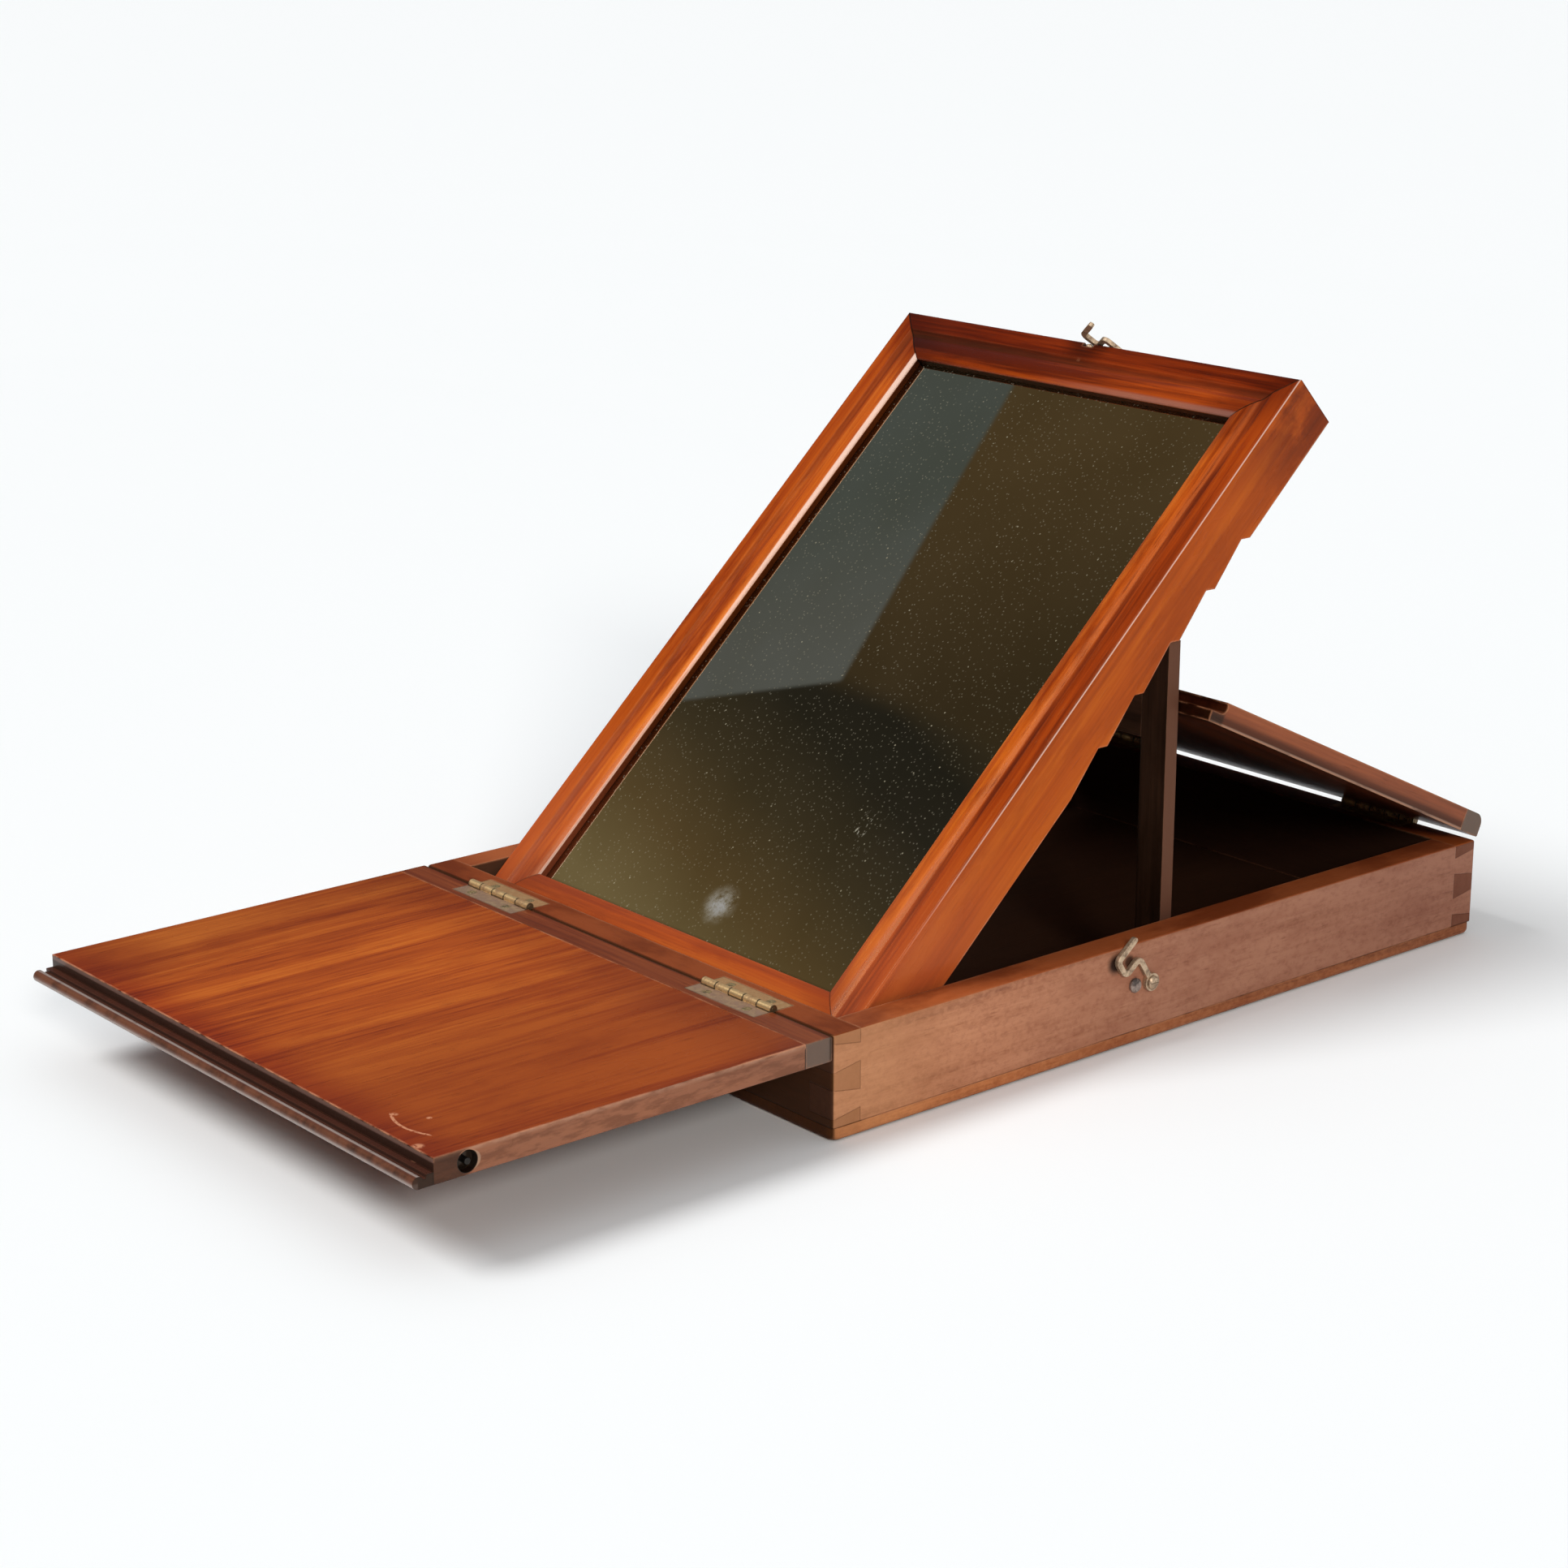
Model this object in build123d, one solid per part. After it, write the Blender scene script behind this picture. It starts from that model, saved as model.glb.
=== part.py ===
from build123d import *
import os
from math import acos, atan2, cos, degrees, hypot, radians, sin, sqrt, tan

# A small travelling vanity box.  A shallow dovetailed case carries two hinged flaps
# that meet over its middle, and a framed mirror that stands up on a folding strut.
# Frame: origin at the middle of the underside, +Z up, +Y to the rear flap,
# +X to the side that carries the hook.  Millimetres.

# case
case_width = 286.0
case_length = 400.0
case_height = 46.0
wall_thickness = 14.5
bottom_thickness = 6.0
case_corner_radius = 1.8
bottom_edge_radius = 2.4
rim_easing = 0.9

# dovetails at the four corners, tails on the side walls
tail_count = 2
pin_tip_width = 7.4
dovetail_slope = 1 / 6

# hinges, let in flush with the rim and with the inside of the flaps
hinge_length = 45.0
hinge_from_side = 59.0
leaf_width = 10.5
leaf_thickness = 1.2
barrel_radius = 1.9
knuckle_count = 5
knuckle_gap = 0.25
hinge_pin_radius = 0.9
running_clearance = 0.05
barrel_relief = 0.35
hinge_overhang = 0.3
pocket_clearance = 0.1

# hinge screws
screw_count = 2
screw_pitch = 26.0
screw_offset = 6.4
screw_head_radius = 2.1
screw_shank_radius = 0.9
screw_length = 7.5
screw_slot_width = 0.5
screw_slot_depth = 0.45
head_clearance = 0.05

# flaps
flap_thickness = 10.5
cleat_width = 14.0
tongue_length = 4.0
tongue_thickness = 3.6
tongue_from_side = 9.0
rear_end_radius = 5.0
lip_thickness = 5.0
lap_length = 9.4
lap_clearance = 0.4
quirk_width = 1.2
quirk_depth = 1.5

# catch for the side hook, in the edge of the front flap
catch_from_lip = 24.3
catch_recess_radius = 4.4
catch_recess_depth = 3.6
catch_pin_radius = 1.3
catch_pin_length = 10.0

# mirror frame
frame_side_clearance = 2.0
frame_rear_clearance = 3.3
frame_depth = 29.0
member_width = 25.0
frame_easing = 1.2
flat_width = 9.5
hollow_width = 4.0
hollow_drop = 1.0
hollow_sag = 0.3
thumb_rise = 0.9
sight_drop = 1.2
sight_easing = 0.9
glass_drop = 5.2
rabbet_width = 5.0
glass_thickness = 3.0
backboard_thickness = 4.0
glass_clearance = 0.4
brad_radius = 0.7
brad_length = 10.0
brad_bite = 6.0
brads_per_side = 2

# how the mirror stands
mirror_angle = 42.9
mirror_pivot_from_front_wall = 23.7
mirror_pivot_height = 31.0
mirror_pivot_from_end = 18.5
mirror_pivot_radius = 2.5
pivot_pin_bite = 11.0
pivot_pin_reach = 8.0
pivot_end_gap = 0.5

# saw teeth on the backs of the stiles, counted from the top
tooth_count = 5
strut_tooth = 3
tooth_pitch = 28.8
tooth_depth = 3.7

# strut
strut_from_middle = 7.9
strut_thickness = 7.0
strut_side_clearance = 3.0
strut_leg_width = 15.0
strut_rail_height = 45.0
strut_pivot_height = 10.3
strut_pivot_radius = 1.8
strut_seat_clearance = 0.3
tenon_length = 9.0
tenon_thickness = 2.6
tenon_shoulder = 5.0
flap_rest_clearance = 0.3

# hooks
hook_thickness = 2.0
hook_bar_width = 2.6
hook_eye_radius = 4.0
hook_screw_radius = 1.6
hook_gap = 0.25
hook_shank = (-8.2, 12.6)
hook_bight = (-16.2, 6.2)
hook_heel = (-21.2, 13.6)
hook_tip = (-11.3, 21.4)
hook_bend_radii = (2.2, 2.6, 2.4)
hook_screw_head_radius = 3.0
hook_screw_head_height = 1.3
hook_screw_length = 10.0
stud_height = 2.0
stud_shank_radius = 1.0
stud_shank_length = 8.0
dome_chamfer = 0.8
side_hook_from_centre = 19.8
side_hook_height = 27.1
side_stud_offset = (-9.1, 0.2)
side_stud_radius = 3.2
top_hook_x = 16.7
top_hook_depth = 9.6
top_stud_offset = (-18.7, -8.0)
top_stud_radius = 1.9
top_stud_recess_radius = 3.6
top_stud_recess_depth = 2.4

# worked out from the values above
half_width = case_width / 2
half_length = case_length / 2
inner_half_width = half_width - wall_thickness
inner_half_length = half_length - wall_thickness
hinge_axis_y = half_length + hinge_overhang
leaf_sink = barrel_radius - leaf_thickness
hinge_axis_z = case_height + leaf_sink
flap_inner = leaf_sink
flap_outer = flap_inner + flap_thickness
frame_half_width = inner_half_width - frame_side_clearance
frame_front_clearance = mirror_pivot_from_front_wall - mirror_pivot_from_end
frame_length = 2 * inner_half_length - frame_front_clearance - frame_rear_clearance
mirror_pivot_y = -inner_half_length + mirror_pivot_from_front_wall
tilt = radians(mirror_angle)
strut_half_width = inner_half_width - strut_side_clearance
strut_pivot_y = strut_from_middle
strut_front_y = strut_pivot_y - strut_thickness / 2
strut_back_y = strut_pivot_y + strut_thickness / 2

# the strut stands upright under one tooth, whose ledge lies level on its top
ledge_tip_y = strut_front_y - strut_seat_clearance + tooth_depth / sin(tilt)
ledge_run = (ledge_tip_y - mirror_pivot_y - frame_depth / 2 * sin(tilt)) / cos(tilt)
ledge_z = mirror_pivot_height + ledge_run * sin(tilt) - frame_depth / 2 * cos(tilt)
strut_top_z = ledge_z - strut_seat_clearance


def tooth_tip(number):
    """Distance of a tooth's tip from the bottom end of the frame; 1 is the topmost."""
    return mirror_pivot_from_end + ledge_run + (strut_tooth - number) * tooth_pitch

# the two flaps meet over the middle of the case, the front lip above the rear tongue
lip_end = hinge_axis_y - lap_clearance / 2
front_inner_end = lip_end - lap_length
bead_radius = lip_thickness / 2
bead_centre = (lip_end - bead_radius, flap_outer - bead_radius)
rear_tongue_end = 2 * hinge_axis_y - front_inner_end - lap_clearance
cove_centre = (2 * hinge_axis_y - bead_centre[0], bead_centre[1])
cove_radius = bead_radius + lap_clearance

# the rear flap leans on the back of the strut with the end of its tongue
lean_reach = hypot(rear_tongue_end, flap_inner)
lean_span = hinge_axis_y - strut_back_y - flap_rest_clearance
rear_flap_angle = degrees(acos(lean_span / lean_reach) - atan2(flap_inner, rear_tongue_end))
front_flap_angle = 180.0


def block(x, y, z):
    """A box between two corners, each axis given as a pair."""
    size = [b - a for a, b in (x, y, z)]
    middle = [(a + b) / 2 for a, b in (x, y, z)]
    return Pos(*middle) * Box(*size)


def along_x(radius, x_from, x_to, y=0.0, z=0.0):
    """A round bar whose axis runs along X."""
    length = x_to - x_from
    bar = Cylinder(radius, length, align=(Align.CENTER, Align.CENTER, Align.MIN))
    return Location((x_from, y, z), (0, 90, 0)) * bar


def prism_x(outline, x_from, x_to):
    """Extrude a closed outline of (y, z) along X."""
    face = make_face(outline)
    return Plane.YZ.offset(x_from) * extrude(face, x_to - x_from)


def poly_x(points, x_from, x_to):
    return prism_x(Polyline(*points, close=True), x_from, x_to)


# ---- places -----------------------------------------------------------------------


def case_place(end):
    """Hinge axis of one end of the case: y points in over the case, z up."""
    turn = 0 if end < 0 else 180
    return Location((0, end * hinge_axis_y, hinge_axis_z), (0, 0, turn))


def flap_place(end):
    """The same axis turned to where the flap lies open."""
    opened = front_flap_angle if end < 0 else rear_flap_angle
    return case_place(end) * Location((0, 0, 0), (opened, 0, 0))


def frame_place():
    """Frame coordinates: x across, y along it from the bottom end, z out of its front."""
    pivot = Location((0, mirror_pivot_y, mirror_pivot_height), (mirror_angle, 0, 0))
    return pivot * Pos(0, -mirror_pivot_from_end, frame_depth / 2)


def hinge_centres():
    return (hinge_from_side - half_width, half_width - hinge_from_side)


def screw_spots(side):
    """Hinge screw seats in hinge coordinates; side is -1 on the case, 1 on the flap."""
    row = [(i - (screw_count - 1) / 2) * screw_pitch for i in range(screw_count)]
    turn = (0, 0, 0) if side < 0 else (180, 0, 0)
    height = side * leaf_sink
    return [Location((x, screw_offset, height), turn) for x in row]


# ---- case -------------------------------------------------------------------------


def case_envelope():
    """The rounded outer form that all four walls are planed to."""
    solid = block((-half_width, half_width), (-half_length, half_length), (0, case_height))
    solid = fillet(solid.edges().filter_by(Axis.Z), case_corner_radius)
    return fillet(solid.faces().sort_by(Axis.Z)[-1].edges(), rim_easing)


def bottom_board():
    solid = block((-half_width, half_width), (-half_length, half_length), (0, bottom_thickness))
    solid = fillet(solid.edges().filter_by(Axis.Z), case_corner_radius + bottom_edge_radius)
    return fillet(solid.faces().sort_by(Axis.Z)[0].edges(), bottom_edge_radius)


def tails(side, end):
    """The tails of one corner, on the side wall, flaring towards the end of the case."""
    pitch = (case_height - bottom_thickness) / tail_count
    tip_half = (pitch - pin_tip_width) / 2
    root_half = tip_half - wall_thickness * dovetail_slope
    root, tip = end * inner_half_length, end * half_length
    x_from, x_to = sorted((side * inner_half_width, side * half_width))
    solids = []
    for number in range(tail_count):
        middle = bottom_thickness + pitch * (number + 0.5)
        outline = [(root, middle - root_half), (tip, middle - tip_half),
                   (tip, middle + tip_half), (root, middle + root_half)]
        solids.append(poly_x(outline, x_from, x_to))
    return solids


def side_wall(side):
    x_from, x_to = sorted((side * inner_half_width, side * half_width))
    solid = block((x_from, x_to), (-inner_half_length, inner_half_length),
                  (bottom_thickness, case_height))
    for end in (-1, 1):
        for tail in tails(side, end):
            solid += tail
    solid &= case_envelope()
    deep = inner_half_width + pivot_pin_reach + pivot_end_gap
    for radius, y, z in ((mirror_pivot_radius, mirror_pivot_y, mirror_pivot_height),
                         (strut_pivot_radius, strut_pivot_y, strut_pivot_height)):
        ends = sorted((side * (inner_half_width - 1), side * deep))
        solid -= along_x(radius + running_clearance, ends[0], ends[1], y, z)
    if side > 0:
        solid -= side_place() * hook_holes(side_stud_offset)
    return solid


def end_wall(end):
    y_from, y_to = sorted((end * inner_half_length, end * half_length))
    solid = block((-half_width, half_width), (y_from, y_to), (bottom_thickness, case_height))
    for side in (-1, 1):
        for tail in tails(side, end):
            solid -= tail
    solid &= case_envelope()
    for recess in hinge_recesses(-1):
        solid -= case_place(end) * recess
    return solid


# ---- hinges -----------------------------------------------------------------------


def knuckle_spans(first):
    """X spans of every other knuckle, starting with number first."""
    pitch = hinge_length / knuckle_count
    spans = []
    for number in range(first, knuckle_count, 2):
        start = -hinge_length / 2 + number * pitch
        spans.append((start + knuckle_gap / 2, start + pitch - knuckle_gap / 2))
    return spans


def hinge_recesses(side):
    """What two hinges need cut from the wood: leaf pockets, barrel notches, pilot holes."""
    half = hinge_length / 2 + pocket_clearance
    notch = barrel_radius + barrel_relief
    cuts = []
    for x in hinge_centres():
        for deep, far in ((barrel_radius, leaf_width + pocket_clearance), (notch, notch)):
            z_pair = sorted((side * deep, -side * barrel_radius))
            cuts.append(Pos(x, 0, 0) * block((-half, half), (-notch, far), z_pair))
        for spot in screw_spots(side):
            cuts.append(Pos(x, 0, 0) * spot * Cylinder(
                screw_shank_radius, screw_length, align=(Align.CENTER, Align.CENTER, Align.MAX)))
    return cuts


def hinge_leaf(side):
    """One leaf in hinge coordinates, the hinge closed; side is -1 case, with the pin, 1 flap."""
    own = knuckle_spans(0 if side < 0 else 1)
    other = knuckle_spans(1 if side < 0 else 0)
    half = hinge_length / 2
    z_pair = sorted((side * barrel_radius, side * leaf_sink))
    leaf = block((-half, half), (0, leaf_width), z_pair)
    notch = barrel_radius + barrel_relief
    for x_from, x_to in other:
        leaf -= block((x_from - knuckle_gap, x_to + knuckle_gap), (-notch, notch), z_pair)
    for x_from, x_to in own:
        leaf += along_x(barrel_radius, x_from, x_to)
    if side < 0:
        leaf += along_x(hinge_pin_radius, -half, half)
    else:
        leaf -= along_x(hinge_pin_radius + running_clearance, -half, half)
    for spot in screw_spots(side):
        seat = Cone(screw_shank_radius + head_clearance, screw_head_radius + head_clearance,
                    leaf_thickness, align=(Align.CENTER, Align.CENTER, Align.MAX))
        leaf -= spot * seat
    return leaf


def hinge_screw():
    """A slotted countersunk screw, its head's top at z = 0, driven down."""
    down = (Align.CENTER, Align.CENTER, Align.MAX)
    head = Cone(screw_shank_radius, screw_head_radius, leaf_thickness, align=down)
    screw = head + Cylinder(screw_shank_radius, screw_length, align=down)
    slot = Box(2 * screw_head_radius, screw_slot_width, screw_slot_depth, align=down)
    return screw - slot


def hinge_screws(end, side):
    place = case_place(end) if side < 0 else flap_place(end)
    return [place * Pos(x, 0, 0) * spot * hinge_screw()
            for x in hinge_centres() for spot in screw_spots(side)]


# ---- flaps, in hinge coordinates with the flap closed ---------------------------------


def flap_tongue(grow=0.0):
    """The tongue of a panel in its cleat, stopped short of both sides."""
    middle = (flap_inner + flap_outer) / 2
    half = half_width - tongue_from_side
    return block((-half, half),
                 (cleat_width - tongue_length, cleat_width + grow),
                 (middle - tongue_thickness / 2, middle + tongue_thickness / 2))


def flap_cleat(outer_radius):
    """The cross-grained cleat at the hinge end, its outer arris eased by a given radius."""
    cleat = block((-half_width, half_width), (hinge_overhang, cleat_width),
                  (flap_inner, flap_outer))
    for number, radius in ((-1, outer_radius), (0, rim_easing)):
        arrises = cleat.edges().filter_by(Axis.X).group_by(Axis.Y)[0].sort_by(Axis.Z)
        cleat = fillet(arrises[number], radius)
    for cut in [flap_tongue()] + hinge_recesses(1):
        cleat -= cut
    return cleat


def front_panel():
    """Front flap: it ends in a beaded lip that laps over the rear flap."""
    lip_top = flap_outer - lip_thickness
    quirk = bead_centre[0] - bead_radius
    outline = [
        Line((cleat_width, flap_outer), (cleat_width, flap_inner)),
        Line((cleat_width, flap_inner), (front_inner_end, flap_inner)),
        Line((front_inner_end, flap_inner), (front_inner_end, lip_top)),
        Line((front_inner_end, lip_top), (quirk - quirk_width, lip_top)),
        Line((quirk - quirk_width, lip_top), (quirk - quirk_width, lip_top + quirk_depth)),
        Line((quirk - quirk_width, lip_top + quirk_depth), (quirk, lip_top + quirk_depth)),
    ]
    shoulder = sqrt(bead_radius ** 2 - (bead_radius - quirk_depth) ** 2)
    bead_start = (bead_centre[0] - shoulder, lip_top + quirk_depth)
    outline += [
        Line((quirk, lip_top + quirk_depth), bead_start),
        ThreePointArc(bead_start, (bead_centre[0], lip_top), (lip_end, bead_centre[1])),
        ThreePointArc((lip_end, bead_centre[1]),
                      (bead_centre[0] + bead_radius * sin(radians(45)),
                       bead_centre[1] + bead_radius * cos(radians(45))),
                      (bead_centre[0], flap_outer)),
        Line((bead_centre[0], flap_outer), (cleat_width, flap_outer)),
    ]
    solid = prism_x(outline, -half_width, half_width) + flap_tongue(tongue_length)
    y, z = catch_spot()
    solid -= along_x(catch_recess_radius, half_width - catch_recess_depth, half_width + 1, y, z)
    solid -= along_x(catch_pin_radius, half_width - catch_pin_length, half_width, y, z)
    return solid


def catch_spot():
    return lip_end - catch_from_lip, (flap_inner + flap_outer) / 2


def catch_pin():
    y, z = catch_spot()
    return along_x(catch_pin_radius, half_width - catch_pin_length, half_width, y, z)


def rear_panel():
    """Rear flap: a cove takes the front bead, and a thin tongue goes under the lip."""
    tongue_top = cove_centre[1] - cove_radius
    rise = flap_outer - cove_centre[1]
    cove_top = cove_centre[0] - sqrt(cove_radius ** 2 - rise ** 2)
    outline = [
        Line((cleat_width, flap_outer), (cleat_width, flap_inner)),
        Line((cleat_width, flap_inner), (rear_tongue_end, flap_inner)),
        Line((rear_tongue_end, flap_inner), (rear_tongue_end, tongue_top)),
        Line((rear_tongue_end, tongue_top), (cove_centre[0], tongue_top)),
        ThreePointArc((cove_centre[0], tongue_top),
                      (cove_centre[0] - cove_radius, cove_centre[1]), (cove_top, flap_outer)),
        Line((cove_top, flap_outer), (cleat_width, flap_outer)),
    ]
    return prism_x(outline, -half_width, half_width) + flap_tongue(tongue_length)


# ---- mirror frame, in frame coordinates --------------------------------------------------


def moulding_section():
    """Section of a member: flat, shallow hollow, low thumb round, then the sight edge."""
    hollow_end = (flat_width + hollow_width, -hollow_drop)
    hollow_mid = (flat_width + hollow_width / 2, -hollow_drop / 2 - hollow_sag)
    sight = (member_width - sight_easing, -sight_drop)
    sight_edge = (member_width, -sight_drop - sight_easing)
    chord = hypot(sight[0] - hollow_end[0], sight[1] - hollow_end[1])
    out = ((hollow_end[1] - sight[1]) / chord, (sight[0] - hollow_end[0]) / chord)
    thumb_mid = tuple((a + b) / 2 + thumb_rise * c for a, b, c in zip(hollow_end, sight, out))
    back_edge = member_width - rabbet_width
    return [
        Line((0, -frame_depth), (0, -frame_easing)),
        RadiusArc((0, -frame_easing), (frame_easing, 0), frame_easing),
        Line((frame_easing, 0), (flat_width, 0)),
        ThreePointArc((flat_width, 0), hollow_mid, hollow_end),
        ThreePointArc(hollow_end, thumb_mid, sight),
        RadiusArc(sight, sight_edge, sight_easing),
        Line(sight_edge, (member_width, -glass_drop)),
        Line((member_width, -glass_drop), (back_edge, -glass_drop)),
        Line((back_edge, -glass_drop), (back_edge, -frame_depth)),
        Line((back_edge, -frame_depth), (0, -frame_depth)),
    ]


def mitred_member(length):
    """A member along +Y from the origin, its outer edge on x = 0, mitred at both ends."""
    bar = extrude(Plane.XZ * make_face(moulding_section()), -length)
    w = member_width
    plan = Polyline((0, 0), (w, w), (w, length - w), (0, length), close=True)
    return bar & Pos(0, 0, -frame_depth) * extrude(make_face(plan), 2 * frame_depth)


def teeth_cutter(x_from, x_to):
    """The notches below the tips, each with a ledge that lies level when the frame stands."""
    inner = -(frame_depth - tooth_depth)
    run = tooth_depth / tan(tilt)
    below = 1.0
    solids = []
    for number in range(1, tooth_count + 1):
        tip = tooth_tip(number)
        outline = [(tip, -frame_depth), (tip - run, inner),
                   (tip - tooth_pitch, -frame_depth), (tip - tooth_pitch, -frame_depth - below),
                   (tip + below / 2, -frame_depth - below)]
        solids.append(poly_x(outline, x_from, x_to))
    return solids


def stile(side):
    member = Pos(-frame_half_width, 0, 0) * mitred_member(frame_length)
    for notch in teeth_cutter(-frame_half_width, -frame_half_width + member_width):
        member -= notch
    member -= along_x(mirror_pivot_radius, -frame_half_width, -frame_half_width + pivot_pin_bite,
                      mirror_pivot_from_end, -frame_depth / 2)
    for y in brad_rows(frame_length):
        member -= Pos(0, y, 0) * brad_in_stile()
    return member if side < 0 else mirror(member, Plane.YZ)


def rail(end):
    width = 2 * frame_half_width
    member = Pos(-frame_half_width, 0, 0) * Location((0, 0, 0), (0, 0, -90)) * mirror(
        mitred_member(width), Plane.YZ)
    for x in brad_rows(width):
        member -= Pos(x - frame_half_width, 0, 0) * brad_in_rail()
    if end < 0:
        return member
    member = Pos(0, frame_length, 0) * mirror(member, Plane.XZ)
    recess = Pos(*top_stud_offset, 0) * Cylinder(
        top_stud_recess_radius, top_stud_recess_depth, align=(Align.CENTER, Align.CENTER, Align.MAX))
    return member - top_place() * recess - top_place() * hook_holes(
        top_stud_offset, top_stud_recess_depth)


def brad_rows(length):
    """Brad places along a member, clear of the teeth's ledges and of the corners."""
    step = (length - 2 * member_width) / brads_per_side
    return [member_width + step * (i + 0.5) for i in range(brads_per_side)]


def brad_depth():
    return glass_drop + glass_thickness + backboard_thickness + brad_radius


def brad_in_stile():
    root = -frame_half_width + member_width - rabbet_width - brad_bite
    return along_x(brad_radius, root, root + brad_length, 0, -brad_depth())


def brad_in_rail():
    root = member_width - rabbet_width - brad_bite
    return Pos(0, root, -brad_depth()) * Location((0, 0, 0), (-90, 0, 0)) * Cylinder(
        brad_radius, brad_length, align=(Align.CENTER, Align.CENTER, Align.MIN))


def backboard_brads():
    brads = []
    for y in brad_rows(frame_length):
        brad = Pos(0, y, 0) * brad_in_stile()
        brads += [brad, mirror(brad, Plane.YZ)]
    for x in brad_rows(2 * frame_half_width):
        brad = Pos(x - frame_half_width, 0, 0) * brad_in_rail()
        brads += [brad, Pos(0, frame_length, 0) * mirror(brad, Plane.XZ)]
    return brads


def rabbet_panel(front, thickness):
    """A panel that lies in the rabbet, its face at the given depth behind the front."""
    half = frame_half_width - member_width + rabbet_width - glass_clearance
    inset = member_width - rabbet_width + glass_clearance
    return block((-half, half), (inset, frame_length - inset), (-front - thickness, -front))


def mirror_pivot_pins():
    x_from = frame_half_width - pivot_pin_bite
    x_to = inner_half_width + pivot_pin_reach
    pin = along_x(mirror_pivot_radius, x_from, x_to, mirror_pivot_from_end, -frame_depth / 2)
    return [pin, mirror(pin, Plane.YZ)]


# ---- strut ------------------------------------------------------------------------


def strut_tenon(side, shoulder):
    z_to = strut_top_z - shoulder
    z_from = strut_top_z - strut_rail_height + shoulder
    inner = strut_half_width - strut_leg_width
    x_pair = sorted((side * (inner - 1), side * (inner + tenon_length)))
    return block(x_pair, (strut_pivot_y - tenon_thickness / 2, strut_pivot_y + tenon_thickness / 2),
                 (z_from, z_to))


def strut_leg(side):
    x_pair = sorted((side * (strut_half_width - strut_leg_width), side * strut_half_width))
    leg = block(x_pair, (strut_front_y, strut_back_y), (strut_pivot_height, strut_top_z))
    leg += along_x(strut_thickness / 2, x_pair[0], x_pair[1], strut_pivot_y, strut_pivot_height)
    leg -= strut_tenon(side, tenon_shoulder)
    ends = sorted((side * (strut_half_width - pivot_pin_bite), side * strut_half_width))
    return leg - along_x(strut_pivot_radius, ends[0], ends[1], strut_pivot_y, strut_pivot_height)


def strut_rail():
    inner = strut_half_width - strut_leg_width
    bar = block((-inner, inner), (strut_front_y, strut_back_y),
                (strut_top_z - strut_rail_height, strut_top_z))
    return bar + strut_tenon(-1, tenon_shoulder) + strut_tenon(1, tenon_shoulder)


def strut_pivot_pins():
    x_from = strut_half_width - pivot_pin_bite
    x_to = inner_half_width + pivot_pin_reach
    pin = along_x(strut_pivot_radius, x_from, x_to, strut_pivot_y, strut_pivot_height)
    return [pin, mirror(pin, Plane.YZ)]


# ---- hooks, drawn flat: the screw at the origin, the surface that carries them at z = 0 -----


def side_place():
    """On the outside of the right wall: x to the rear, y up."""
    centre = (half_width, -side_hook_from_centre, side_hook_height)
    return Plane(centre, x_dir=(0, 1, 0), z_dir=(1, 0, 0)).location


def top_place():
    """On the top end of the frame, in frame coordinates: x across, y towards its back."""
    centre = (top_hook_x, frame_length, -top_hook_depth)
    return Plane(centre, x_dir=(1, 0, 0), z_dir=(0, 1, 0)).location


def hook():
    line = FilletPolyline((0, 0), hook_shank, hook_bight, hook_heel, hook_tip,
                          radius=hook_bend_radii)
    flat = trace(line, hook_bar_width) + Circle(hook_eye_radius)
    flat += Pos(*hook_tip) * Circle(hook_bar_width / 2)
    flat -= Circle(hook_screw_radius + running_clearance)
    return Pos(0, 0, hook_gap) * extrude(flat, hook_thickness)


def hook_turned_over():
    """The same flat hook fitted with its other face out."""
    return mirror(hook(), Plane.XZ)


def hook_screw():
    """A round-headed screw that holds the hook's eye."""
    up = (Align.CENTER, Align.CENTER, Align.MIN)
    seat = 2 * hook_gap + hook_thickness
    head = Pos(0, 0, seat) * Cylinder(hook_screw_head_radius, hook_screw_head_height, align=up)
    head = chamfer(head.edges().group_by(Axis.Z)[-1], dome_chamfer)
    shank = Pos(0, 0, -hook_screw_length) * Cylinder(
        hook_screw_radius, hook_screw_length + seat, align=up)
    slot = Pos(0, 0, seat + hook_screw_head_height) * Box(
        2 * hook_screw_head_radius, screw_slot_width, 2 * screw_slot_depth)
    return head + shank - slot


def stud(offset, radius, sunk=0.0):
    """A large-headed nail beside the hook, its head's edge chamfered."""
    up = (Align.CENTER, Align.CENTER, Align.MIN)
    dome = Cylinder(radius, stud_height, align=up)
    dome = chamfer(dome.edges().group_by(Axis.Z)[-1], dome_chamfer)
    shank = Pos(0, 0, -stud_shank_length) * Cylinder(stud_shank_radius, stud_shank_length, align=up)
    return Pos(*offset, -sunk) * (dome + shank)


def hook_holes(offset, sunk=0.0):
    down = (Align.CENTER, Align.CENTER, Align.MAX)
    screw_hole = Cylinder(hook_screw_radius, hook_screw_length, align=down)
    return screw_hole + Pos(*offset, 0) * Cylinder(
        stud_shank_radius, stud_shank_length + sunk, align=down)


# ---- all the pieces -----------------------------------------------------------------


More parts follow.
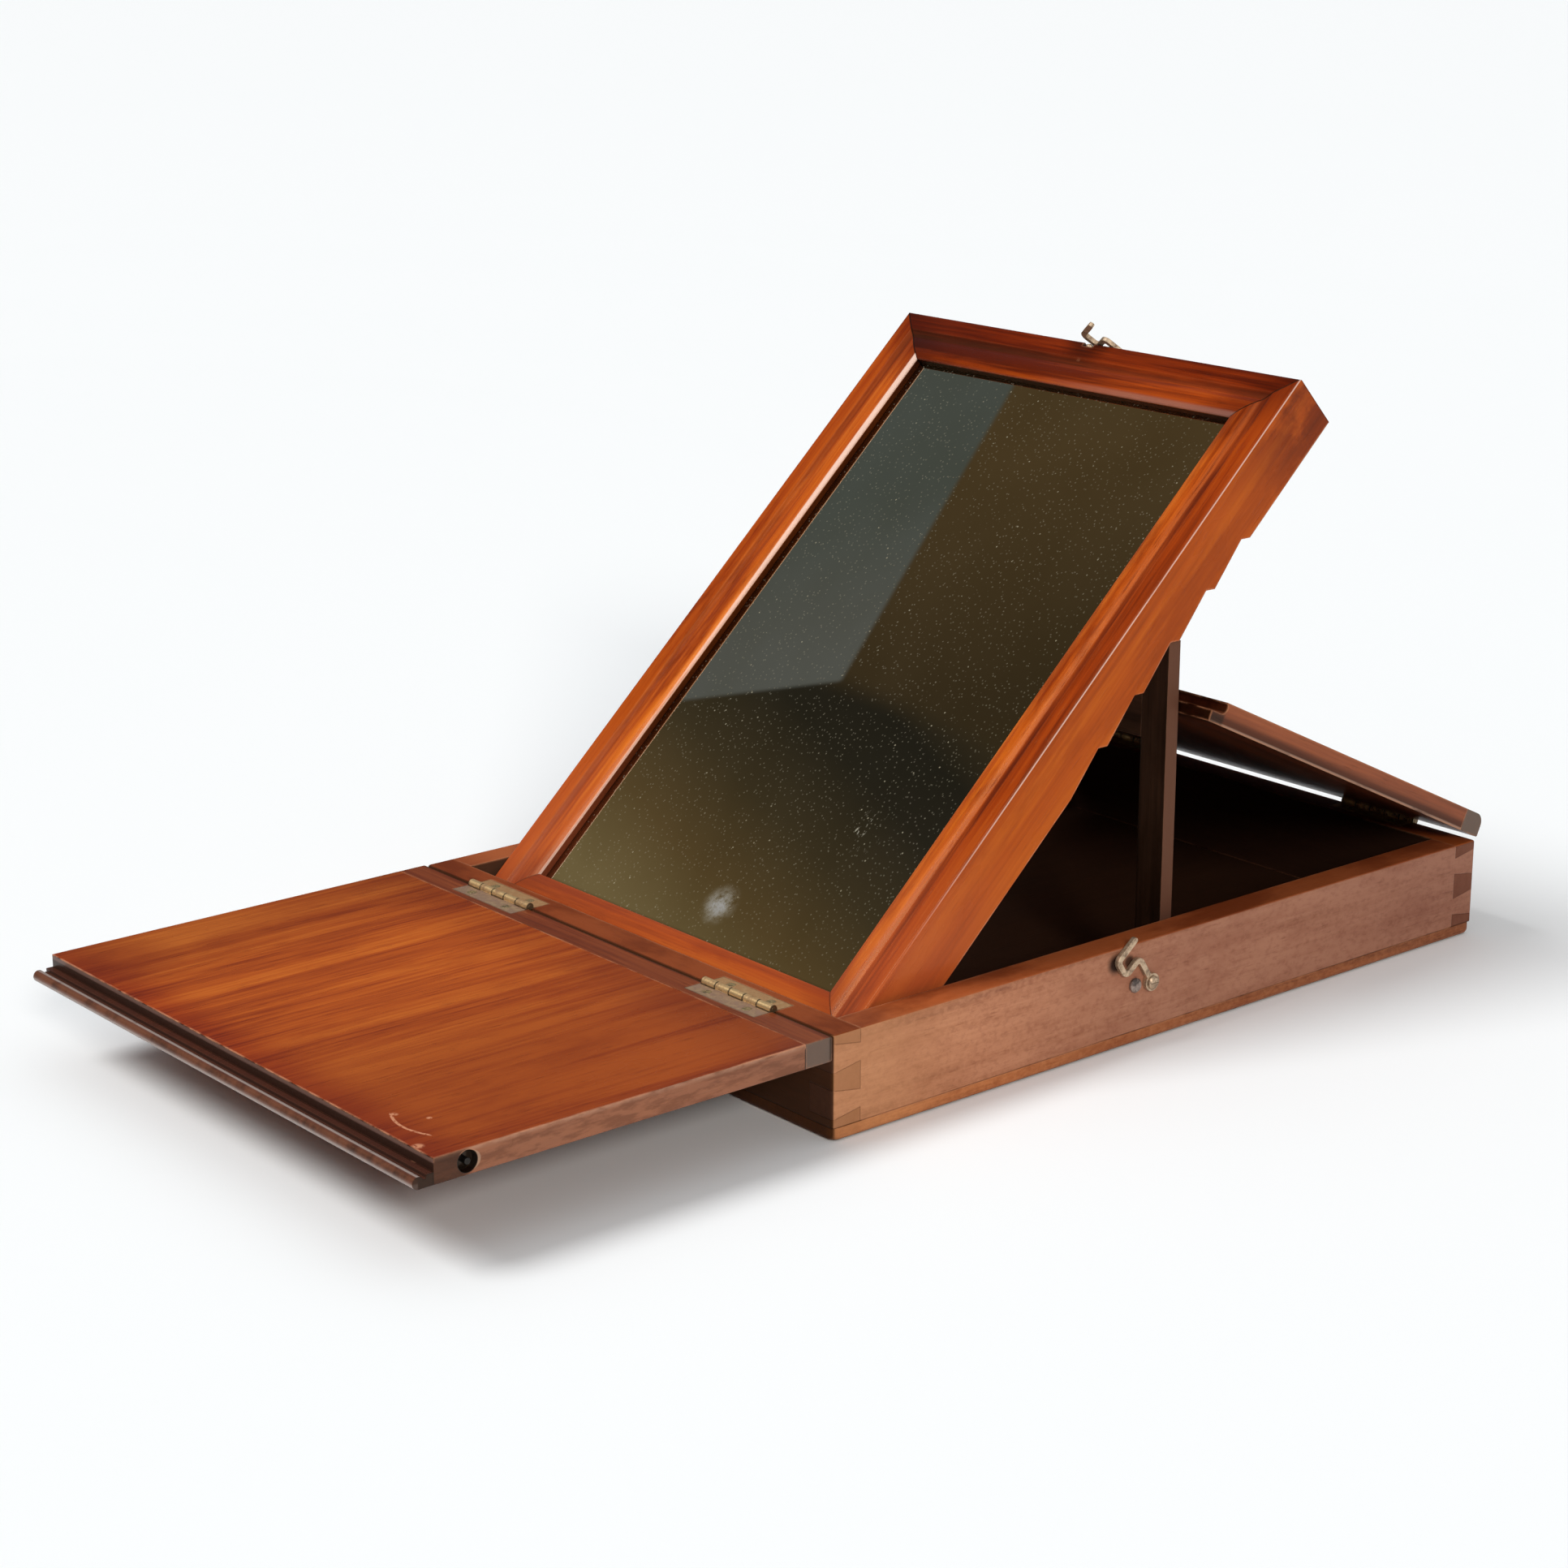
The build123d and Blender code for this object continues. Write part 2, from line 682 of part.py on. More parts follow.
def build():
    pieces = {"bottom_board": bottom_board()}
    for side, name in ((-1, "left"), (1, "right")):
        pieces[f"{name}_wall"] = side_wall(side)
    for end, name in ((-1, "front"), (1, "rear")):
        pieces[f"{name}_wall"] = end_wall(end)
        for x, hand in zip(hinge_centres(), ("left", "right")):
            hinge = f"{name}_{hand}_hinge"
            # seen from the front: the rear hinge coordinates are turned half round
            spot = Pos(-end * x, 0, 0) if end > 0 else Pos(x, 0, 0)
            pieces[f"{hinge}_case_leaf"] = case_place(end) * spot * hinge_leaf(-1)
            pieces[f"{hinge}_flap_leaf"] = flap_place(end) * spot * hinge_leaf(1)
        pieces[f"{name}_case_hinge_screws"] = hinge_screws(end, -1)
        pieces[f"{name}_flap_hinge_screws"] = hinge_screws(end, 1)
        end_radius = rim_easing if end < 0 else rear_end_radius
        pieces[f"{name}_flap_cleat"] = flap_place(end) * flap_cleat(end_radius)
    pieces["front_flap_panel"] = flap_place(-1) * front_panel()
    pieces["rear_flap_panel"] = flap_place(1) * rear_panel()
    pieces["catch_pin"] = flap_place(-1) * catch_pin()

    stand = frame_place()
    pieces["frame_left_stile"] = stand * stile(-1)
    pieces["frame_right_stile"] = stand * stile(1)
    pieces["frame_bottom_rail"] = stand * rail(-1)
    pieces["frame_top_rail"] = stand * rail(1)
    pieces["mirror_glass"] = stand * rabbet_panel(glass_drop, glass_thickness)
    pieces["backboard"] = stand * rabbet_panel(glass_drop + glass_thickness, backboard_thickness)
    pieces["backboard_brads"] = [stand * brad for brad in backboard_brads()]
    pieces["mirror_pivot_pins"] = [stand * pin for pin in mirror_pivot_pins()]

    pieces["strut_left_leg"] = strut_leg(-1)
    pieces["strut_right_leg"] = strut_leg(1)
    pieces["strut_top_rail"] = strut_rail()
    pieces["strut_pivot_pins"] = strut_pivot_pins()

    on_side, on_top = side_place(), stand * top_place()
    pieces["side_hook"] = on_side * hook()
    pieces["side_hook_screw"] = on_side * hook_screw()
    pieces["side_stud"] = on_side * stud(side_stud_offset, side_stud_radius)
    pieces["top_hook"] = on_top * hook_turned_over()
    pieces["top_hook_screw"] = on_top * hook_screw()
    pieces["top_stud"] = on_top * stud(top_stud_offset, top_stud_radius, top_stud_recess_depth)
    return pieces


os.makedirs("parts", exist_ok=True)
for name, piece in build().items():
    shape = Compound(children=piece) if isinstance(piece, list) else piece
    export_step(shape, f"parts/{name}.step")
print(f"rear flap leans {rear_flap_angle:.2f} degrees from closed")
print(f"strut stands at y {strut_pivot_y:.2f}, its top at z {strut_top_z:.2f}")
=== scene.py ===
# A small travelling vanity box of polished mahogany, opened up: its front flap lies
# level with the rim, its rear flap leans on a folding strut, and the framed mirror
# stands with its saw-tooth stiles on the strut's top.  Everything is in metres.
import math

import bpy
from mathutils import Matrix, Vector

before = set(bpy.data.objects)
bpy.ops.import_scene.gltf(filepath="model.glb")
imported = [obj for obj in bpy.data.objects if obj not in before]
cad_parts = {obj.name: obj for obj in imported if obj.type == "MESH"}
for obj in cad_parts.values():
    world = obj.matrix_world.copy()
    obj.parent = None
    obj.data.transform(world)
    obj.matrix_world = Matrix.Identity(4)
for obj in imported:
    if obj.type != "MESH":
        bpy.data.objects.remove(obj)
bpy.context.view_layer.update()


# ---- the view -----------------------------------------------------------------------
# The camera stands to the right of the open flap and looks down across the box, far
# enough back that the sides draw together only a little.

PICTURE_SIDE = 1932
FOCAL_PIXELS = 4083
SIGHT_LINE = (968.1, 958.3)
CAMERA_PLACE = (1.0730, -1.0065, 0.5184)
CAMERA_TURN = 49.95
CAMERA_DIP = 16.54
CAMERA_ROLL = 0.033


def make_camera():
    lens = bpy.data.cameras.new("camera")
    lens.sensor_width = 36
    lens.lens = FOCAL_PIXELS / PICTURE_SIDE * lens.sensor_width
    lens.shift_x = (PICTURE_SIDE / 2 - SIGHT_LINE[0]) / PICTURE_SIDE
    lens.shift_y = (SIGHT_LINE[1] - PICTURE_SIDE / 2) / PICTURE_SIDE
    camera = bpy.data.objects.new("camera", lens)
    camera.location = CAMERA_PLACE
    turn = Matrix.Rotation(math.radians(CAMERA_TURN), 3, "Z")
    dip = Matrix.Rotation(math.radians(90 - CAMERA_DIP), 3, "X")
    roll = Matrix.Rotation(math.radians(CAMERA_ROLL), 3, "Z")
    camera.rotation_euler = (turn @ dip @ roll).to_euler()
    bpy.context.collection.objects.link(camera)
    bpy.context.scene.camera = camera


make_camera()
bpy.context.scene.view_settings.view_transform = "Standard"


# ---- the case -----------------------------------------------------------------------
# Four walls of mahogany, dovetailed at the corners and planed flush, on a thinner
# bottom board. The sides are dry and clouded, the rim has kept its polish, the inside
# is dark, and painted shade darkens the front face under the open flap.

class Wire:
    """A shader value that takes part in sums; each sum adds a Math node."""

    def __init__(self, finish, socket):
        self.finish = finish
        self.socket = socket

    def sum(self, operation, *terms):
        return self.finish.node("Math", {"operation": operation}, dict(enumerate(terms)))

    def __add__(self, other):
        return self.sum("ADD", self, other)

    def __sub__(self, other):
        return self.sum("SUBTRACT", self, other)

    def __rsub__(self, other):
        return self.sum("SUBTRACT", other, self)

    def __mul__(self, other):
        return self.sum("MULTIPLY", self, other)

    def __and__(self, other):
        return self.sum("MINIMUM", self, other)

    def __or__(self, other):
        return self.sum("MAXIMUM", self, other)

    def __abs__(self):
        return self.sum("ABSOLUTE", self)

    __radd__ = __add__
    __rmul__ = __mul__


def shade(red, green, blue):
    """A colour given as it looks on screen, from 0 to 255, in the shader's own terms."""
    def straight(value):
        value /= 255
        return value / 12.92 if value <= 0.04045 else ((value + 0.055) / 1.055) ** 2.4
    return (straight(red), straight(green), straight(blue), 1)


class Finish:
    """A material under way. Turn and place lay out the piece's own axes, one of them
    the way its grain runs. Its values are Wires; its colour is built up in layers."""

    def __init__(self, name, turn=(0, 0, 0), place=(0, 0, 0), grain="Y"):
        self.material = bpy.data.materials.new(name)
        self.material.use_nodes = True
        self.tree = self.material.node_tree
        self.tree.nodes.clear()
        self.grain = grain
        self.colour = None
        own_axes = {"Rotation": [math.radians(angle) for angle in turn]}
        self.spot = self.node("Mapping", {"vector_type": "TEXTURE"}, {
            **own_axes, "Vector": self.node("TexCoord", output="Object"), "Location": place})
        self.facing = self.node("Mapping", {"vector_type": "TEXTURE"}, {
            **own_axes, "Vector": self.node("TexCoord", output="Normal")})

    def node(self, kind, settings=None, inputs=None, output=0):
        """Add a shader node: its settings first, then its sockets, and give one output."""
        made = self.tree.nodes.new("ShaderNode" + kind)
        for key, value in (settings or {}).items():
            if key == "stops":
                self.set_stops(made.color_ramp.elements, value)
            else:
                setattr(made, key, value)
        for key, value in (inputs or {}).items():
            if isinstance(value, Wire):
                self.tree.links.new(value.socket, made.inputs[key])
            else:
                made.inputs[key].default_value = value
        return Wire(self, made.outputs[output])

    def set_stops(self, elements, stops):
        while len(elements) < len(stops):
            elements.new(1)
        for element, (position, colour) in zip(elements, stops):
            element.position = position
            element.color = colour

    # where on the piece

    def axis(self, name, vector=None):
        """One of the piece's own coordinates, in metres, or of another vector's."""
        return self.node("SeparateXYZ", None, {0: vector or self.spot}, name)

    def toward(self, name):
        """How far the surface faces along one of the piece's axes, from -1 to 1."""
        return self.axis(name, self.facing)

    def band(self, value, low, high):
        """0 below low, 1 above high, smooth between; low may be the higher number."""
        return self.node("MapRange", {"interpolation_type": "SMOOTHSTEP"}, {
            "Value": value, "From Min": low, "From Max": high})

    def between(self, value, low, high, soft):
        """1 from low to high, fading out over a soft width on both sides."""
        return self.band(value, low - soft, low) * self.band(value, high + soft, high)

    def disc(self, first, second, place, radius, soft):
        """1 inside a round spot of two coordinates, fading out over a soft width."""
        step = self.node("CombineXYZ", None, {0: first - place[0], 1: second - place[1]})
        away = self.node("VectorMath", {"operation": "LENGTH"}, {0: step}, "Value")
        return self.band(away, radius + soft, radius)

    def faces(self, name, side):
        """1 where the surface faces up an axis, or down it where side is -1."""
        return self.band(self.toward(name), 0.5 * side, 0.8 * side)

    def sideways(self, low=0.6, high=0.85):
        """1 where the surface faces left or right."""
        return self.band(abs(self.toward("X")), low, high)

    def rounded(self, radius):
        """The surface's direction, as if its arrises were rounded."""
        return self.node("Bevel", {"samples": 6}, {"Radius": radius})

    def edges(self, radius):
        """1 on arrises, 0 on flat ground, from how a rounding of this radius turns there."""
        along = self.node("VectorMath", {"operation": "DOT_PRODUCT"}, {
            0: self.rounded(radius), 1: self.node("NewGeometry", output="True Normal")},
            "Value")
        return self.band(1 - along, 0.02, 0.2)

    # irregular ground

    def stretched(self, across, along=None, shift=(0, 0, 0)):
        """The piece's own place, in cycles per metre across and along its grain."""
        scales = [across] * 3
        scales["XYZ".index(self.grain)] = along or across
        return self.node("Mapping", None, {
            "Vector": self.spot, "Scale": scales, "Location": shift})

    def noise(self, vector, detail, roughness, distortion=0.0):
        return self.node("TexNoise", None, {
            "Vector": vector, "Scale": 1, "Detail": detail,
            "Roughness": roughness, "Distortion": distortion})

    # colour and relief

    def blend(self, factor, one, other, mode="MIX"):
        return self.node("Mix", {"data_type": "RGBA", "blend_type": mode}, {
            0: factor, 6: one, 7: other}, 2)

    def ramp(self, value, *stops):
        return self.node("ValToRGB", {"stops": stops}, {0: value})

    def paint(self, mask, tone):
        """Cover the colour by a tone where the mask is 1."""
        self.colour = self.blend(mask, self.colour, tone)

    def stain(self, mask, tone):
        """Darken the colour by a tone where the mask is 1, as a stain or grime does."""
        self.colour = self.blend(mask, self.colour, tone, "MULTIPLY")

    def relief(self, height, depth, rounding):
        """The shading of a fine relief, so deep, over rounded arrises."""
        return self.node("Bump", None, {"Strength": 1, "Distance": depth,
                                        "Height": height, "Normal": self.rounded(rounding)})

    def surface(self, **inputs):
        """End the material in one Principled shader and hand the material over."""
        named = {key.replace("_", " "): value for key, value in inputs.items()}
        shader = self.node("BsdfPrincipled", None, named)
        out = self.tree.nodes.new("ShaderNodeOutputMaterial")
        self.tree.links.new(shader.socket, out.inputs["Surface"])
        return self.material


class Timber(Finish):
    """Mahogany: long bands and streaks along the grain, short dark pores, darker end
    grain. A piece stains and paints its colour further before it is polished."""

    def __init__(self, name, light, deep, dark, turn=(0, 0, 0), place=(0, 0, 0), grain="Y",
                 shift=(0, 0, 0), end_tone=shade(196, 150, 140)):
        super().__init__(name, turn, place, grain)
        bands = self.noise(self.stretched(13, 1.0, shift), 3, 0.5, 0.5)
        streaks = self.noise(self.stretched(70, 2.6, shift), 5, 0.6, 0.35)
        fibres = self.noise(self.stretched(520, 16, shift), 3, 0.6)
        pores = self.noise(self.stretched(1100, 70, shift), 2, 0.6)
        self.colour = self.ramp(bands * 0.36 + streaks * 0.42 + fibres * 0.22,
                                (0.4, dark), (0.48, deep), (0.575, light))
        pits = self.band(pores, 0.6, 0.74)
        self.stain(pits * 0.3, dark)
        self.height = fibres * 0.5 + streaks * 0.2 - pits * 0.5
        self.end_grain = self.band(abs(self.toward(grain)), 0.55, 0.85)
        self.stain(self.end_grain, end_tone)

    def patches(self, across, along, low, high, shift=(3, 1, 2)):
        """Irregular patches, 0 to 1."""
        return self.band(self.noise(self.stretched(across, along, shift), 5, 0.65), low, high)

    def polish(self, gloss, wear, coat=0.0, worn=shade(190, 128, 92), rub=0.0018,
               matt=0.0, tint=shade(255, 190, 110)):
        """Rub the arrises pale, and give the whole its polish; low gloss is shiny, and
        matt places have lost theirs. Old polish tints what shines in it."""
        rubbed = self.edges(rub) * self.patches(110, 30, 0.36, 0.6) * wear
        self.paint(rubbed, worn)
        hazy = self.noise(self.stretched(26, 12, (5, 5, 5)), 4, 0.6)
        return self.surface(
            Base_Color=self.colour, Coat_Weight=coat, Coat_Roughness=0.1,
            Specular_IOR_Level=0.2, Specular_Tint=tint,
            Roughness=(hazy * 0.24 + (gloss - 0.12) + rubbed * 0.2
                       + self.end_grain * 0.15 + matt * 0.5),
            Normal=self.relief(self.height, depth=0.00009, rounding=0.0007))


def clad(material, *names):
    """Give CAD nodes their finish."""
    for name in names:
        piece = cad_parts[name]
        piece.data.materials.clear()
        piece.data.materials.append(material)


CASE_HALF_WIDTH = 0.143
CASE_HALF_LENGTH = 0.2
CASE_WALL = 0.0145
CORNER_ROUNDING = 0.0018
BOARD_TOP = 0.006
RIM_FROM = 0.04


class CaseWood(Timber):
    """Dry and clouded outside, polished rim, dark inside, painted shade under the flap."""

    def __init__(self, name, light, deep, dark, grain="Y", shift=(0, 0, 0), mottle=0.5):
        super().__init__(name, light, deep, dark, grain=grain, shift=shift,
                         end_tone=shade(226, 206, 200))
        along, up = self.axis("Y"), self.axis("Z")
        wide, long = abs(self.axis("X")), abs(along)

        def under_outside(start, full):
            """0 to 1 between two depths, from the case's sides and its ends at once."""
            return (self.band(wide, CASE_HALF_WIDTH - start, CASE_HALF_WIDTH - full)
                    * self.band(long, CASE_HALF_LENGTH - start, CASE_HALF_LENGTH - full))

        # the outside, paler toward the front flap, with a line above the bottom board
        self.paint(self.end_grain * 0.75, shade(154, 100, 74))
        self.paint(self.patches(420, 260, 0.4, 0.64) * mottle, light)
        self.stain(self.patches(480, 300, 0.44, 0.7, (7, 2, 4)) * mottle * 0.6,
                   shade(176, 140, 130))
        self.stain(self.patches(40, 16, 0.42, 0.66, (2, 2, 7)) * 0.5, shade(206, 180, 172))
        self.paint(self.band(along, -0.11, -0.19) * 0.4, shade(196, 142, 96))
        self.stain(self.band(along, -0.18, 0.02) * 0.89, shade(210, 213, 230))
        self.stain(self.band(along, 0.02, 0.18) * 0.5, shade(214, 206, 214))
        board_line = self.between(up, BOARD_TOP, BOARD_TOP + 0.0002, 0.0003)
        self.stain(board_line * 0.6, shade(110, 86, 78))

        # the polished rim, darker at its ends and toward the front
        rim = self.faces("Z", 1) * self.band(up, RIM_FROM, RIM_FROM + 0.001)
        self.paint(rim * 0.85, shade(158, 76, 30))
        self.stain(rim * self.patches(30, 14, 0.45, 0.65, (1, 9, 4)) * 0.6,
                   shade(160, 120, 100))
        self.stain(rim * self.band(long, 0.1984, 0.1996) * 0.8, shade(90, 66, 56))
        self.stain(rim * self.band(along, -0.16, -0.192) * 0.6, shade(180, 140, 122))

        # the dark inside, and painted shade on the case's front face under the open flap
        inside = under_outside(0.0004, 0.002) * (1 - rim)
        self.paint(inside * 0.9, shade(46, 30, 22))
        shade_under_flap = self.band(along, -0.1965, -0.1972) * self.faces("Y", -1)
        self.stain(shade_under_flap * 0.95, shade(84, 68, 62))

        # the lines of the dovetails
        joints = under_outside(CASE_WALL + 0.002, CASE_WALL)
        arris = under_outside(CORNER_ROUNDING, CORNER_ROUNDING / 3)
        joints = joints * (1 - arris) * (1 - rim)
        self.stain(joints * self.edges(0.0007) * 0.45, shade(110, 84, 74))
        self.handled = (1 - joints) * (1 - shade_under_flap)


HOOK_HEEL = (-0.0405, 0.0395)
HOOK_SHADE = (-0.0325, 0.0388)


def side_finish():
    """The side walls' finish, with a dark mark at the hook's heel and a painted shadow in its
    loop.
    """
    wood = CaseWood("case side wood", shade(196, 134, 98), shade(178, 116, 82),
                    shade(150, 95, 68))
    along, up = wood.axis("Y"), wood.axis("Z")
    # a dark mark at the hook's heel, and a painted shadow inside the hook's loop, on the right
    # wall
    marks = (wood.disc(along, up, HOOK_HEEL, 0.0022, 0.0042)
             | wood.disc(along, up, HOOK_SHADE, 0.0014, 0.0026) * 0.9)
    wood.stain(marks * wood.band(wood.axis("X"), 0, 0.1) * 0.97, shade(38, 22, 18))
    return wood.polish(0.5, wood.handled * 0.7, tint=shade(255, 240, 225))


clad(side_finish(), "left_wall", "right_wall")

end_wood = CaseWood("case end wood", shade(158, 100, 72), shade(138, 84, 58),
                    shade(108, 64, 46), "X", (4, 1, 6), 0.2)
clad(end_wood.polish(0.48, end_wood.handled * 0.6), "front_wall", "rear_wall")

board_wood = CaseWood("bottom board wood", shade(206, 132, 82), shade(184, 110, 66),
                      shade(142, 84, 54), shift=(2, 5, 1))
clad(board_wood.polish(0.5, board_wood.handled * 0.6), "bottom_board")


# ---- the flaps ------------------------------------------------------------------------
# Each flap is one wide board, its grain along the box, with a cross-grained cleat
# tongued on at the hinge end. The inside of the front one has kept its French polish;
# its far end has a beaded lip, black with handling, and a nail's crescent scratch.

FLAP_FACE = 0.046
CLEAT_JOINT = -0.2148
LIP_END = -0.4004
LIP_STEP = 0.0094
BEAD = 0.0029
FAR_CORNER = (-0.12, -0.372)
BARE_WOOD = shade(214, 146, 108)
CRESCENT = (0.1114, -0.3567)
CRESCENT_RADIUS = 0.0263
CRESCENT_END = -0.379
NICKS = (((0.1105, -0.3706), 0.0010), ((0.1302, -0.3889), 0.0020),
         ((0.0992, -0.3788), 0.0014))
CATCH = (-0.3761, 0.04075)
CATCH_RADIUS = 0.0045


def front_flap_finish():
    wood = Timber("flap wood", shade(208, 110, 34), shade(180, 82, 20), shade(138, 50, 12),
                  end_tone=shade(80, 74, 84))
    across, along, up = [wood.axis(name) for name in "XYZ"]
    from_lip = along - LIP_END
    below = FLAP_FACE - up

    # the face: darker toward the hinge, on its right, at the far left corner, toward the lip
    # and in broad clouds; duller and greyer on its left, a painted reflection; and the dull
    # outer side
    wood.stain(wood.band(from_lip, 0.14, 0.188) * 0.6, shade(190, 165, 150))
    wood.stain(wood.band(across, -0.03, 0.09) * 0.9, shade(188, 158, 136))
    wood.stain(wood.band(across, -0.06, -0.13) * 0.6, shade(206, 204, 226))
    wood.stain(wood.band(from_lip, 0.036, 0.009) * 0.8, shade(206, 150, 120))
    wood.stain(wood.patches(26, 10, 0.48, 0.66, (4, 7, 1)) * 0.35, shade(196, 150, 120))
    wood.stain(wood.disc(across, along, FAR_CORNER, 0.006, 0.03) * 0.6, shade(188, 130, 110))
    wood.paint(wood.faces("Z", -1) * 0.8, shade(98, 62, 46))

    # the flank, scuffed along its top, with a dark line where the cleat begins
    flank = wood.sideways(0.5, 0.8)
    wood.paint(flank * 0.75, shade(146, 100, 76))
    wood.stain(flank * wood.patches(260, 60, 0.42, 0.6, (6, 1, 3)) * 0.5,
               shade(160, 136, 126))
    cleat_line = wood.band(along, CLEAT_JOINT - 0.0002, CLEAT_JOINT + 0.0002)
    wood.stain(flank * cleat_line * 0.85, shade(60, 48, 44))
    scuffed = flank * wood.band(below, 0.0024, 0.0004)
    wood.paint(scuffed * wood.patches(240, 90, 0.3, 0.6) * 0.7, shade(182, 134, 108))

    # the lip: black in its step and quirk, rubbed on the bead's front
    grimy = (wood.band(from_lip, LIP_STEP + 0.0003, LIP_STEP - 0.0002)
             * wood.band(below, 0.0003, 0.0008))
    wood.paint(grimy * 0.85, shade(76, 50, 42))
    bead_front = grimy * wood.band(from_lip, BEAD, BEAD * 0.7)
    step = grimy * wood.band(from_lip, LIP_STEP - 0.0008, LIP_STEP - 0.0004)
    wood.stain((step * wood.band(below, 0.0018, 0.0026) | grimy * 0.4) * 0.85,
               shade(90, 80, 78))
    wood.paint(step * wood.band(below, 0.0024, 0.0016) * 0.6, shade(136, 104, 94))
    wood.paint(bead_front * wood.patches(90, 40, 0.3, 0.6) * 0.7, shade(112, 68, 50))
    # a painted highlight along the top of the bead, and a painted reflection low on its front
    bead_crest_highlight = grimy * wood.between(from_lip, BEAD * 0.8, BEAD * 1.2, 0.0006)
    bead_crest_highlight = bead_crest_highlight * wood.band(wood.toward("Z"), 0.3, 0.7)
    bead_foot_reflection = bead_front * wood.band(below, 0.0075, 0.0087)
    wood.paint((bead_crest_highlight | bead_foot_reflection * 0.8) * wood.patches(120, 40, 0.22, 0.42) * 0.85,
               shade(160, 144, 136))

    # the crescent scratch and the nicks, down to bare wood
    scratch = (wood.disc(across, along, CRESCENT, CRESCENT_RADIUS + 0.0004, 0.0004)
               - wood.disc(across, along, CRESCENT, CRESCENT_RADIUS - 0.0008, 0.0004))
    scratch = scratch * wood.band(along, CRESCENT_END, CRESCENT_END - 0.001)
    for spot, size in NICKS:
        scratch = scratch | wood.disc(across, along, spot, size * 0.5, size)
    scratch = scratch * wood.patches(700, 700, 0.34, 0.5) * wood.faces("Z", 1)
    wood.paint(scratch * 0.85, BARE_WOOD)

    # the recess for the catch, in the right flank, with a painted highlight on its right
    # rim and painted shade, nearly black, inside it
    by_catch = wood.band(across, 0.13, 0.131)
    wood.stain(by_catch * flank * wood.band(along, -0.373, -0.379) * 0.85,
               shade(104, 88, 84))
    catch_rim_highlight = wood.disc(along, up, (CATCH[0] + 0.0022, CATCH[1]), 0.0034, 0.0005)
    wood.paint(by_catch * catch_rim_highlight * 0.55, shade(180, 150, 124))
    recess = wood.disc(along, up, CATCH, CATCH_RADIUS, 0.0002)
    wood.paint(by_catch * recess * 0.97, shade(20, 16, 13))

    by_face = (wood.band(below, 0.0025, 0.001)
               * wood.band(along, CLEAT_JOINT + 0.0023, CLEAT_JOINT + 0.0003))
    return wood.polish(0.27, by_face * (0.85 - grimy * 0.7), coat=0.25, worn=BARE_WOOD)


REAR_LEAN = -25.6
REAR_HINGE = (0, 0.2003, 0.0467)
REAR_LIP = -0.1995


def rear_flap_finish():
    """Duller than the front flap: a dark lip, a pale lower arris, painted shade underneath."""
    wood = Timber("rear flap wood", shade(158, 84, 48), shade(126, 62, 36),
                  shade(82, 38, 24), (REAR_LEAN, 0, 0), REAR_HINGE, shift=(8, 3, 1),
                  end_tone=shade(120, 105, 105))
    along, up = wood.axis("Y"), wood.axis("Z")
    flank = wood.sideways(0.5, 0.8)
    wood.paint(flank * 0.3, shade(138, 78, 52))
    wood.stain(flank * wood.band(up, 0.007, 0.003) * 0.8, shade(116, 92, 84))
    lower_arris = flank * wood.band(up, 0.0022, 0.0014)
    wood.paint(lower_arris * wood.patches(110, 30, 0.3, 0.5) * 0.6, shade(176, 140, 118))
    wood.stain(wood.band(along, REAR_LIP, REAR_LIP - 0.002) * 0.8, shade(100, 88, 84))
    wood.paint(wood.faces("Z", 1) * 0.5, shade(122, 70, 46))
    # painted shade on the underside
    wood.stain(wood.faces("Z", -1) * 0.7, shade(110, 90, 84))
    return wood.polish(0.36, 0.85, coat=0.1)


def cleat_wood(name, lean, shift):
    wood = Timber(name, shade(138, 70, 36), shade(112, 50, 26), shade(78, 32, 18),
                  (lean, 0, 0), grain="X", shift=shift, end_tone=shade(150, 150, 150))
    wood.paint(wood.sideways() * 0.65, shade(116, 102, 92))
    return wood


clad(front_flap_finish(), "front_flap_panel")
clad(rear_flap_finish(), "rear_flap_panel")

front_cleat = cleat_wood("front cleat wood", 0, (3, 3, 5))
by_hinge = front_cleat.band(front_cleat.axis("Y"), -0.2026, -0.2012)
front_cleat.stain(by_hinge * 0.8, shade(80, 58, 50))
clad(front_cleat.polish(0.34, 0.4, coat=0.15), "front_flap_cleat")

rear_cleat = cleat_wood("rear cleat wood", REAR_LEAN, (6, 2, 2))
clad(rear_cleat.polish(0.36, 0.7, coat=0.1), "rear_flap_cleat")


# ---- the mirror frame -------------------------------------------------------------------
# Four mitred members, each moulded with a flat, a hollow and a polished round inside it.
# The flat and the hollow are darker, painted shade darkens the sight edge, and grime
# lies in the mitres; the stiles' backs are cut with saw teeth.

MIRROR_LEAN = 42.9
MIRROR_FOOT = (0, -0.18522, 0.02903)
FRAME_HALF_WIDTH = 0.1265
FRAME_LENGTH = 0.3625
FLAT = 0.0095
HOLLOW = 0.0135
SIGHT = 0.025


